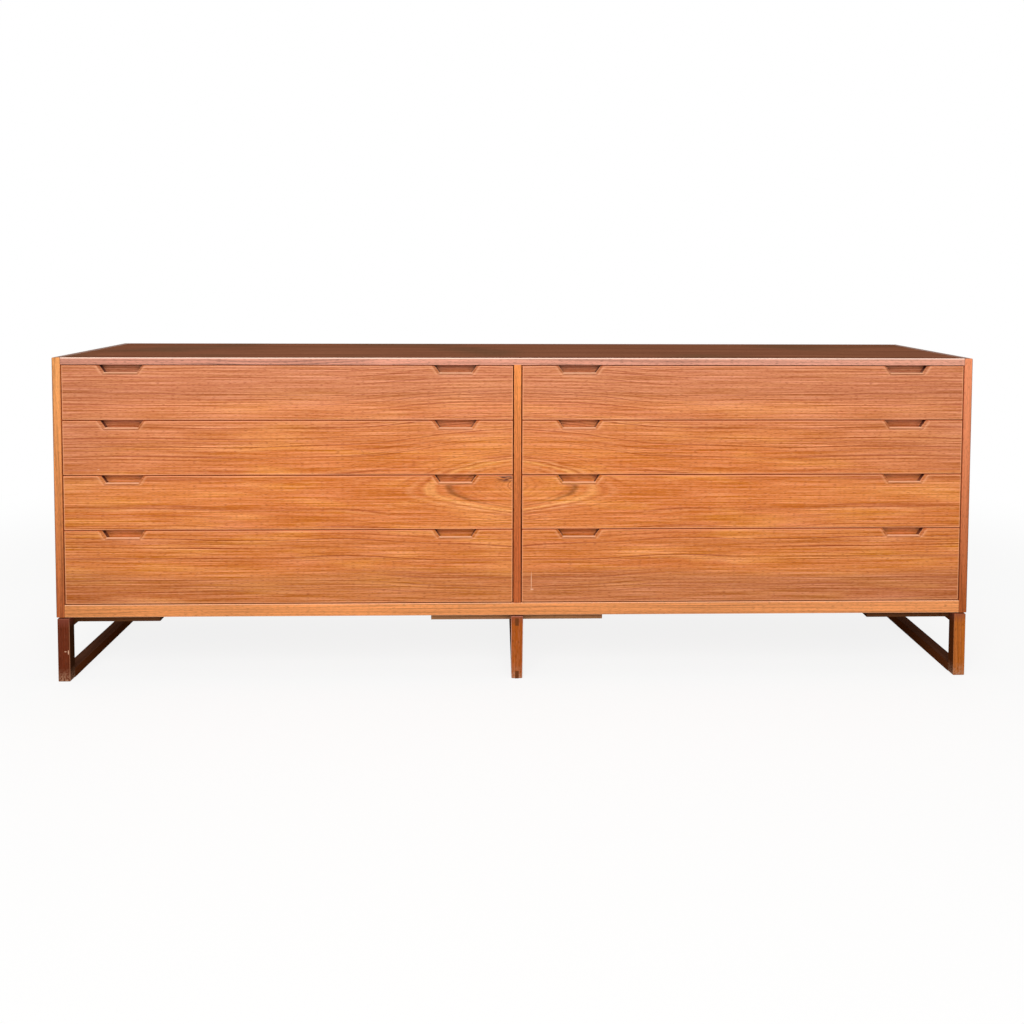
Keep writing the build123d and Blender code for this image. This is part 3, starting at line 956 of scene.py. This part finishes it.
@dataclass
class DrawerFront:
    """A drawer front with two finger pulls, worked out as one grid over its face.

    Rows are heights and columns are places across, slanted along the sides of the pulls. Each
    point goes back by the deepest of the eased edge and the carved pulls, and a wall round the
    rim carries the face back to the inner side. The ring distance grows with the depth of the cut.
    """

    drawer: str
    pull_centres: tuple[float, ...]
    pull_depth: float
    ease: float = 1.2 * MM
    # The painted edge highlight: its width, its fade and its share.
    edge_highlight: float = 2.2 * MM
    edge_highlight_fade: float = 0.4 * MM
    edge_highlight_share: float = 0.45
    # The rim's painted tint, which colours the gaps' shade lines: its width and its fade.
    gap_shade_tint: Pair = (0.45 * MM, 0.35 * MM)
    end_inset: float = 0.2 * MM
    column_step: float = 7.0 * MM
    row_step: float = 5.0 * MM
    wall_rows: int = 6
    slant_reach: float = 45.0 * MM
    ring_dip: float = 4.0
    sharp_angle: float = math.radians(35.0)
    low: Vector = field(init=False)
    high: Vector = field(init=False)
    pulls: list[FingerPull] = field(init=False)

    def __post_init__(self) -> None:
        """Take the front's box from its CAD node and set out its pulls."""
        self.low, self.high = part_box(f"{self.drawer}_front")
        self.pulls = [FingerPull(x, self.high.z, self.pull_depth) for x in sorted(self.pull_centres)]

    def rim_steps(self) -> np.ndarray:
        """Give the steps in from the rim: the ease less its cosine over a quarter turn, then the painted
        edge highlight's band.
        """
        eased = self.ease * (1.0 - np.cos(np.linspace(0.0, math.pi / 2.0, 5)))
        return np.append(eased, [self.edge_highlight, self.edge_highlight + self.edge_highlight_fade])

    def columns(self) -> tuple[np.ndarray, np.ndarray]:
        """Set out the columns from end to end, fanned out beside the pulls.

        Returns:
            Column places below the pulls, and the slope that each takes above their lower edge.
        """
        left, right = self.low.x + self.end_inset, self.high.x - self.end_inset
        rim = self.rim_steps()
        places, slopes = [left + rim], [np.zeros(rim.size)]
        for pull in self.pulls:
            across, slant = pull.columns()
            places += [self.plain_columns(places[-1][-1], across[0]), across]
            slopes += [np.zeros(places[-2].size), slant]
        places += [self.plain_columns(places[-1][-1], right - rim[-1]), right - rim[::-1]]
        slopes += [np.zeros(places[-2].size), np.zeros(rim.size)]
        x, slope = np.concatenate(places), np.concatenate(slopes)
        for pull in self.pulls:
            beyond = np.abs(x - pull.centre) - pull.low_half
            fan = below(beyond, self.slant_reach, self.slant_reach, pull.side_slope)
            slope = np.where(beyond > 1e-9, slope + np.sign(x - pull.centre) * fan, slope)
        return x, slope

    def plain_columns(self, start: float, stop: float) -> np.ndarray:
        """Space plain columns between two places, without the ends."""
        count = max(2, math.ceil((stop - start) / self.column_step))
        return np.linspace(start, stop, count + 1)[1:-1]

    def rows(self) -> tuple[np.ndarray, np.ndarray, np.ndarray]:
        """Set out the rows from the lower edge to the upper.

        Four rows close together at the lip draw the land, the pocket's drop, its floor and the
        foot of its back wall; outside the pulls they lie flat on the face.

        Returns:
            Row heights, and the depth and drop that each row takes inside the pockets.
        """
        pull = self.pulls[0]
        foot = self.low.z + self.rim_steps()
        plain = np.linspace(foot[-1], pull.low, math.ceil((pull.low - foot[-1]) / self.row_step) + 1)[1:-1]
        lip = pull.low + pull.bevel_places()
        land = lip[-1] + pull.wall * np.arange(1.0, 5.0)
        crown = self.high.z - self.rim_steps()[::-1]
        wall = np.linspace(land[-1], crown[0], self.wall_rows)[1:-1]
        heights = np.concatenate([foot, plain, lip, land, wall, crown])
        depth = np.full(heights.size, pull.depth)
        drop = np.zeros(heights.size)
        first = foot.size + plain.size + lip.size
        depth[:first] = 0.0
        depth[first:first + 2] = pull.bevel + pull.land
        drop[first + 1:first + 3] = pull.undercut
        return heights, depth, drop

    def surface(self) -> tuple[np.ndarray, dict[str, np.ndarray]]:
        """Work out the face, and where its edges and carving carry painted highlights and painted shade.

        A painted highlight lies along the inner half of a pull's lower bevel. Thin painted highlights follow
        the edges of the slanted bevels, and painted shade fades from the corners behind the side walls.

        Returns:
            Points as rows by columns by three, and the shares there of the lip's painted highlight, the
            pocket's painted shade, the painted shade of its side walls, the painted edge highlight and the
            rim's painted tint.
        """
        base, slope = self.columns()
        height, pocket_depth, pocket_drop = self.rows()
        z = np.repeat(height[:, None], base.size, axis=1)
        x = base + slope * np.clip(z - self.pulls[0].low, 0.0, None)
        rim = np.minimum.reduce([x - self.low.x - self.end_inset, self.high.x - self.end_inset - x,
                                 z - self.low.z, self.high.z - z])
        inside = np.clip(self.ease - rim, 0.0, self.ease)
        back = self.ease - np.sqrt(self.ease**2 - inside**2)
        edge_highlight = below(rim, self.edge_highlight + self.edge_highlight_fade, self.edge_highlight_fade)
        drop, lip, pocket, wall_shade = (np.zeros_like(z) for _ in range(4))
        hollow = pocket_depth[:, None] > 0.0
        for pull in self.pulls:
            distance, side, foot = pull.inward(x, z), pull.side_distance(x, z), z - pull.low
            past = side - pull.bevel
            throat = (side > pull.bevel + 0.5 * pull.wall) & hollow
            bevel = (distance > -pull.bevel_margin) & ~throat
            back = np.maximum(back, pull.carve(distance))
            back = np.where(throat, np.maximum(back, pocket_depth[:, None]), back)
            drop = np.where(throat, pocket_drop[:, None], drop)
            # Painted highlight on the lip; painted shade in the crease below it, on the side bevels, and in
            # the pocket, darker towards its sides and its top.
            lower = np.clip((side - foot) / pull.corner + 0.5, 0.0, 1.0)
            inner = above(foot / pull.bevel, *pull.lip_highlight_part)
            lip = np.where(bevel, np.maximum(lip, pull.lip_highlight_share * lower * inner), lip)
            crease_shade = lower * (1.0 - inner) * above(foot, *pull.crease_shade)
            painted_flank = (1.0 - lower) * above(side, *pull.painted_flank)
            least, most = pull.pocket_shade_shares
            pocket_shade = least + most * np.exp(-past / pull.pocket_shade[0] - (self.high.z - z) / pull.pocket_shade[1])
            pocket = np.where(throat, pocket_shade, np.where(bevel, crease_shade + painted_flank, pocket))
            # Thin painted highlights along both edges of the side bevels.
            lines = bell(side, *pull.outer_highlight) + bell(side, pull.bevel, pull.inner_highlight)
            edge_highlight = np.where(throat, 0.0, np.where(bevel, (1.0 - lower) * lines, edge_highlight))
            # Painted shade on the pockets' side walls, fading from the corners behind them.
            least, most = pull.wall_shade_shares
            wall_darkness = (least + most * foot / pull.height) * below(past, pull.wall_shade_fade, pull.wall_shade_fade)
            wall_shade = np.where((past > 0.2 * pull.wall) & hollow, wall_darkness, wall_shade)
        # Shares of the painted lip highlight, pocket shade, edge highlight and wall shade, and of the rim's
        # painted tint.
        shares = {"lip": lip, "pocket": pocket, "edge_highlight": self.edge_highlight_share * edge_highlight, "wall_shade": wall_shade,
                  "rim": below(rim, *self.gap_shade_tint)}
        return np.stack([x, self.low.y + back, z - drop], axis=-1), shares

    def build(self, figure: FlameFigure, finish: Material, sawn: Material) -> None:
        """Make the front's mesh, put it on its drawer, dress it and report it.

        Args:
            figure: The flame figure that runs over all the fronts.
            finish: The veneer of the face.
            sawn: The finish of the edges and the inner side.
        """
        face, shares = self.surface()
        rows, columns = face.shape[:2]
        index = np.arange(rows * columns).reshape(rows, columns)
        quads = np.stack([index[:-1, :-1], index[:-1, 1:], index[1:, 1:], index[1:, :-1]], axis=-1)
        rim = np.concatenate([index[0], index[1:, -1], index[-1, -2::-1], index[-2:0:-1, 0]])
        inner = face.reshape(-1, 3)[rim].copy()
        inner[:, 1] = self.high.y
        behind = rows * columns + np.arange(rim.size)
        walls = np.stack([rim, behind, np.roll(behind, -1), np.roll(rim, -1)], axis=-1)
        points = np.concatenate([face.reshape(-1, 3), inner])
        faces = quads.reshape(-1, 4).tolist() + walls.tolist() + [behind[::-1].tolist()]

        name = f"{self.drawer}_carved_front"
        mesh = bpy.data.meshes.new(name)
        mesh.from_pydata(points.tolist(), [], faces)
        layers = figure.layers(points[:, 0], points[:, 2])
        layers["ring"] += self.ring_dip * (points[:, 1] - self.low.y)
        layers |= {layer: np.append(share.ravel(), np.zeros(rim.size)) for layer, share in shares.items()}
        for layer, values in layers.items():
            mesh.attributes.new(layer, "FLOAT", "POINT").data.foreach_set("value", values.astype(np.float32))
        mesh.shade_smooth()
        mesh.set_sharp_from_angle(angle=self.sharp_angle)
        mesh.materials.append(finish)
        mesh.materials.append(sawn)
        behind_face = np.arange(len(faces)) >= quads[..., 0].size
        mesh.polygons.foreach_set("material_index", behind_face.astype(np.int32))
        piece = bpy.data.objects.new(name, mesh)
        bpy.context.scene.collection.objects.link(piece)
        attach(piece, self.drawer)
        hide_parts(f"{self.drawer}_front")
        LOG.info("%s: %d faces, %s", name, len(faces), finish.name)


@dataclass
class Drawer:
    """One drawer: a carved front on a dovetailed box."""

    column: Column
    row: int
    pull_clearance: float = 0.5 * MM

    @property
    def name(self) -> str:
        """The drawer's body name."""
        return f"{self.column.value}_drawer_{self.row}"

    def pull_boxes(self) -> list[np.ndarray]:
        """Find the openings that the record gives for this drawer's pulls."""
        openings = frame["record"]["physics"]["openings"]
        return [np.array(o["box_m"]) for o in openings
                if o["name"].startswith(self.name) and o["name"].endswith("_pull")]

    def build(self, figure: FlameFigure, veneer: Material, sawn: Material, sides: Material,
              back: Material, floor: Material) -> None:
        """Make the front and dress the box.

        Args:
            figure: The flame figure of the fronts.
            veneer: The fronts' finish.
            sawn: The finish of the fronts' edges.
            sides: The finish of the sides.
            back: The finish of the back.
            floor: The finish of the bottom.
        """
        boxes = self.pull_boxes()
        centres = tuple(float(box[:, 0].mean()) for box in boxes)
        depth = float(boxes[0][1, 1] - boxes[0][0, 1]) + self.pull_clearance
        DrawerFront(self.name, centres, depth).build(figure, veneer, sawn)
        for part, finish in (("sides", sides), ("back", back), ("bottom", floor)):
            dress(f"{self.name}_{part}", finish)


@dataclass
class Case:
    """The case: two sides, top, bottom, divider, back panels and the drawers' runners."""

    # Where the flat boards' seams lie, and the sides' outer edge, along which a painted shade line runs.
    end_seam_mm: float = 982.0
    outer_shade_line_mm: float = 1000.0
    top_lip_mm: float = 3.0
    top_reflection_patches: Marks = replace(Wood.patches, length_mm=300.0, width_mm=260.0)
    tan: Shades = ("#D58A50", "#C2743F", "#8A4A2B")
    brown: tuple[str, str] = ("#6E3F22", "#5E341C")
    runners: tuple[str, ...] = ("left_side_runners", "divider_left_runners", "divider_right_runners",
                                "right_side_runners")

    def finishes(self) -> dict[str, LippedBoard]:
        """Choose the finish of each board.

        Returns:
            Finishes by node.
        """
        # Oiled teak veneer on the sides: tan and even, with a strip in front that is orange at the top
        # and a duller, reddish brown at the foot, and painted shade along the rounded edges and the strip's
        # outer edge.
        left = LippedBoard("teak_veneer_left_side", *self.tan, self.brown[1], "#DDA274", GrainAxis.UPRIGHT,
                           edge_light_and_shade=self.brown[0], line_mm=11.0, specular=0.08, lip_top="#E89C5C",
                           lip_foot="#B46034", seam_and_shade_line_mm=self.outer_shade_line_mm, heart_mm=(-840.0, 30.0))
        right = replace(left, name="teak_veneer_right_side", lip_top="#E28A60", lip_foot="#9E5126",
                        heart_mm=(840.0, -30.0))
        # The same veneer on the divider, which lies deep: redder, with a strip that darkens downwards.
        divider = LippedBoard("teak_veneer_divider", "#D8743A", "#C8642C", "#8A3C18", "#8A3C18", "#DDA274",
                              GrainAxis.UPRIGHT, line_mm=5.0, specular=0.02, lip_top="#EC9150",
                              lip_foot="#BE6336", lip_span_mm=(300.0, 690.0))
        # The top's veneer: dark and dull, partly aged by hand wear and light and partly a painted dark
        # reflection, with painted reflection patches, behind a strip painted pink as sky light, with a
        # painted highlight along its rounded edge.
        top = LippedBoard("teak_veneer_top", "#925C42", "#82503A", "#4A2216", self.brown[1], "#94684A",
                          GrainAxis.ACROSS, edge_light_and_shade="#FFD8C4", roughness=0.62, specular=0.0,
                          heart_mm=(-500.0, 500.0), patch="#6C4E38", patches=self.top_reflection_patches,
                          lip_top="#E4A188", lip_foot="#CC8C76", lip_span_mm=(-700.0, 900.0),
                          lip_mm=self.top_lip_mm, seam_and_shade_line_mm=self.end_seam_mm,
                          highlight_mm=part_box("top_panel")[1].z / MM)
        # The bottom's veneer: a plain tan, with a light orange strip in front and painted highlights along
        # its edges.
        bottom = LippedBoard("teak_veneer_bottom", "#B98050", "#A56E42", "#74452A", "#74452A", "#C69468",
                             GrainAxis.ACROSS, edge_light_and_shade="#FFC8A0", specular=0.08, lip_top="#E19158",
                             lip_foot="#D88A51", lip_span_mm=(-900.0, 900.0), seam_and_shade_line_mm=self.end_seam_mm)
        return {"left_side_panel": left, "right_side_panel": right, "centre_divider": divider,
                "top_panel": top, "bottom_panel": bottom}

    def build(self, beech: Material, plywood: Material) -> None:
        """Dress the boards of the case.

        Args:
            beech: The runners' finish.
            plywood: The back's finish.
        """
        for node, finish in self.finishes().items():
            dress(node, finish.material())
        dress("back_panels", plywood)
        for node in self.runners:
            dress(node, beech)


@dataclass
class SledFrame:
    """One sled foot: two posts joined by a floor runner and a top rail, under a plate."""

    side: str
    post: Shades
    # The posts' painted flank shade, then the colour of their flecks and of their painted edge highlight.
    painted_flank: str
    edge_light_and_shade: str
    plate: Shades
    tenon: str = "#784220"
    # The rails' colours are painted dark as the shade under the case, their flanks less shaded.
    rail: Shades = ("#6C4330", "#5A3626", "#301810")
    rail_painted_flank: str = "#6A3719"
    inner: int = 0
    nicks: tuple[Nick, ...] = ()
    line_mm: float = 6.0
    bands: Marks = replace(Wood.bands, width_mm=18.0)
    streaks: Marks = replace(Wood.streaks, width_mm=1.8)

    def build(self) -> None:
        """Dress the posts, the floor runner, the top rail and the mounting plate."""
        # Oiled solid teak posts: fine upright lines, painted shade on the flanks and painted highlights
        # along the rounded edges.
        post = PostTeak(f"solid_teak_{self.side}_posts", *self.post, self.post[1], self.edge_light_and_shade,
                        GrainAxis.UPRIGHT, edge_light_and_shade=self.edge_light_and_shade, painted_flank=self.painted_flank, painted_flank_side=self.inner,
                        line_mm=self.line_mm, line_share=0.5, bands=self.bands, streaks=self.streaks,
                        fleck_share=0.1, specular=0.0, nicks=self.nicks)
        # The rails' solid teak, painted dark as the shade under the case: deep brown and dull, with
        # redder flanks painted less shaded.
        rail = Wood(f"solid_teak_{self.side}_rails", *self.rail, self.tenon, self.rail[0],
                    GrainAxis.FRONT_TO_BACK, painted_flank=self.rail_painted_flank, line_mm=self.line_mm,
                    bands=self.bands, streaks=self.streaks, roughness=0.6, specular=0.0)
        # The plate's solid teak: plain, dry and dull.
        plate = Wood(f"solid_teak_{self.side}_plate", *self.plate, self.plate[2], self.plate[0],
                     GrainAxis.ACROSS, roughness=0.6, specular=0.0)
        for finish, parts in ((post, ("front_post", "back_post")), (rail, ("floor_runner", "top_rail")),
                              (plate, ("mounting_plate",))):
            material = finish.material()
            for part in parts:
                dress(f"{self.side}_{part}", material)


@dataclass(frozen=True)
class SoftBox:
    """A large soft studio lamp."""

    name: str
    place: Triple
    aim: Triple
    width: float
    height: float
    watts: float

    def build(self) -> None:
        """Hang the lamp and turn it to its aim."""
        light = bpy.data.lights.new(self.name, "AREA")
        light.shape = "RECTANGLE"
        light.size, light.size_y, light.energy = self.width, self.height, self.watts
        lamp = bpy.data.objects.new(self.name, light)
        lamp.location = self.place
        lamp.rotation_euler = (Vector(self.aim) - lamp.location).to_track_quat("-Z", "Y").to_euler()
        bpy.context.scene.collection.objects.link(lamp)


@dataclass(frozen=True)
class StudioCamera:
    """The camera at the photograph's viewpoint, with its place, turns and framing."""

    place_mm: Triple = (-46.73, -2536.60, 896.28)
    yaw: float = 0.0287487
    pitch: float = 0.0518938
    roll: float = 0.0035436
    focal_pixels: float = 1069.2
    centre_pixels: Pair = (527.06, 326.64)
    sensor_mm: float = 36.0

    def build(self) -> None:
        """Make the camera and give it to the scene."""
        data = bpy.data.cameras.new("studio_camera")
        data.sensor_width = self.sensor_mm
        data.lens = self.focal_pixels * self.sensor_mm / PHOTO_PIXELS
        data.shift_x = 0.5 - self.centre_pixels[0] / PHOTO_PIXELS
        data.shift_y = self.centre_pixels[1] / PHOTO_PIXELS - 0.5
        level = Matrix.Rotation(-self.yaw, 3, "Z") @ Matrix.Rotation(math.pi / 2.0 - self.pitch, 3, "X")
        turned = level @ Matrix.Rotation(self.roll, 3, "Z")
        camera = bpy.data.objects.new("studio_camera", data)
        camera.matrix_world = Matrix.Translation(Vector(self.place_mm) * MM) @ turned.to_4x4()
        bpy.context.scene.collection.objects.link(camera)
        bpy.context.scene.camera = camera


@dataclass
class Studio:
    """The pale floor, the white surround, the lamps and the camera."""

    floor_half: float = 14.0
    paper: str = "#F6F6F4"
    bounce: str = "#C8C8C6"
    ambient: float = 0.45
    shadow_share: float = 0.15
    shadow_reach: Pair = (1.5, 2.6)
    lamps: tuple[SoftBox, ...] = (
        SoftBox("front_lamp", (-0.35, -3.7, 2.7), (0.0, -0.1, 0.42), 3.4, 2.2, 121.0),
        SoftBox("top_lamp", (0.0, 0.2, 3.4), (0.0, 0.0, 0.5), 3.0, 2.0, 16.0),
    )

    def seen(self, tree: Tree) -> Node:
        """Find the rays that show the surround: those from the camera, from gloss and through glass.

        Args:
            tree: A node tree of the floor or the world.

        Returns:
            One for such rays, zero for the rays that light the object.
        """
        path = add(tree, "LightPath").outputs
        shown = add(tree, "Math", (path["Is Camera Ray"], path["Is Glossy Ray"]), operation="MAXIMUM")
        return add(tree, "Math", (shown, path["Is Transmission Ray"]), operation="MAXIMUM")

    def floor_finish(self) -> Material:
        """Build the floor's matt white paper.

        Returns:
            The node material.
        """
        # Matt white paper: an even white without gloss, which keeps the object's shadow close to it.
        made = new_material("matt_white_paper")
        tree = made.node_tree
        place = add(tree, "TexCoord").outputs["Object"]
        away = add(tree, "VectorMath", (place,), operation="LENGTH")
        share = add(tree, "MapRange", (away, *self.shadow_reach, self.shadow_share, 0.0),
                    interpolation_type="SMOOTHSTEP")
        paper = add(tree, "BsdfDiffuse", {"Color": self.paper})
        white = add(tree, "Emission", {"Strength": 1.0})
        shown = add(tree, "MixShader", (share, white, paper))
        bounce = add(tree, "BsdfDiffuse", {"Color": self.bounce})
        surface = add(tree, "MixShader", (self.seen(tree), bounce, shown))
        add(tree, "OutputMaterial", {"Surface": surface})
        return made

    def build(self) -> None:
        """Lay the floor, light the world, hang the lamps and set the camera."""
        corners = self.floor_half * np.array([[-1, -1, 0], [1, -1, 0], [1, 1, 0], [-1, 1, 0]], dtype=float)
        mesh = bpy.data.meshes.new("studio_floor")
        mesh.from_pydata(corners.tolist(), [], [(0, 1, 2, 3)])
        mesh.materials.append(self.floor_finish())
        floor = bpy.data.objects.new("studio_floor", mesh)
        bpy.context.scene.collection.objects.link(floor)

        world = bpy.data.worlds.new("white_surround")
        world.use_nodes = True
        tree = world.node_tree
        tree.nodes.clear()
        light, white = (add(tree, "Background", {"Color": "#FFFFFF", "Strength": strength})
                        for strength in (self.ambient, 1.0))
        surround = add(tree, "MixShader", (self.seen(tree), light, white))
        add(tree, "OutputWorld", {"Surface": surround})
        bpy.context.scene.world = world
        bpy.context.scene.view_settings.view_transform = "Standard"
        for lamp in self.lamps:
            lamp.build()
        StudioCamera().build()


def main() -> None:
    """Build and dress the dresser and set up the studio."""
    logging.basicConfig(level=logging.INFO, format="%(message)s")
    # Planed beech in the drawer boxes: pale and even, with short flecks and hardly any lines.
    beech = Wood("planed_beech", "#D9B48C", "#CBA278", "#A87C54", "#A87C54", "#E2C29E",
                 GrainAxis.FRONT_TO_BACK, line_mm=7.0, line_share=0.3, streak_share=0.1)
    drawer_backs = replace(beech, name="planed_beech_across", grain=GrainAxis.ACROSS).material()
    sides = beech.material()
    # Birch plywood in the back and the drawer bottoms: a flat tan with broad, faint lines.
    plywood = Wood("birch_plywood", "#C79A6C", "#B98A5C", "#8E6640", "#8E6640", "#D2A87C",
                   GrainAxis.ACROSS, line_mm=18.0, line_share=0.5).material()
    scratches = (Nick((31.0, -224.0, 218.0), (0.8, 4.0, 24.0)),
                 Nick((32.5, -224.0, 199.0), (4.5, 4.0, 1.6)),
                 Nick((-904.0, -224.0, 466.0), (3.0, 4.0, 0.7)))
    # Oiled teak veneer on the fronts: warm orange with a soft sheen, thin dark lines and pale flecks.
    veneer = FlameVeneer("oiled_teak_veneer", "#E88C46", "#DA7A38", "#983808", "#6A1E0C", "#F8B07A",
                         GrainAxis.ACROSS, line_share=1.0, streak_share=0.28, roughness=0.42,
                         specular=0.25, patch="#F59E4C", nicks=scratches).material()
    # Sawn teak on the fronts' edges and inner sides: the face's colour, dull and without a sheen.
    sawn = Wood("sawn_teak_edge", "#E0905A", "#D6824C", "#93502A", "#D07A44", "#E6A878",
                GrainAxis.ACROSS, roughness=0.8, specular=0.0).material()
    # Zinc-plated steel screws: small bright grey heads.
    steel = ZincSteel().material()
    Case().build(sides, plywood)
    chips = (Nick((-981.5, -225.0, 66.5), (3.0, 4.0, 1.2)), Nick((-975.0, -224.5, 65.0), (1.4, 4.0, 6.0)))
    # Each frame: the posts' colours, their painted flank shade, the colour of their flecks and painted edge
    # highlight, then the plate's colours.
    SledFrame("left", ("#70301A", "#5E2612", "#2E140A"), "#3A2414", "#A86E50",
              ("#7E5232", "#6A4228", "#402618"), inner=1, nicks=chips).build()
    SledFrame("centre", ("#C06628", "#AC541C", "#5A2A12"), "#3A1E10", "#F0B49C",
              ("#CC9668", "#B47C58", "#70503A")).build()
    SledFrame("right", ("#C8702C", "#B66224", "#5E3014"), "#3C1C10", "#B87040",
              ("#7A4E30", "#643E26", "#382014"), inner=-1).build()
    figure = FlameFigure()
    for column in Column:
        for row in range(1, 5):
            Drawer(column, row).build(figure, veneer, sawn, sides, drawer_backs, plywood)
    for node in ("runner_screws", "back_screws", "plate_screws"):
        dress(node, steel)
    Studio().build()


if __name__ == "__main__":
    main()
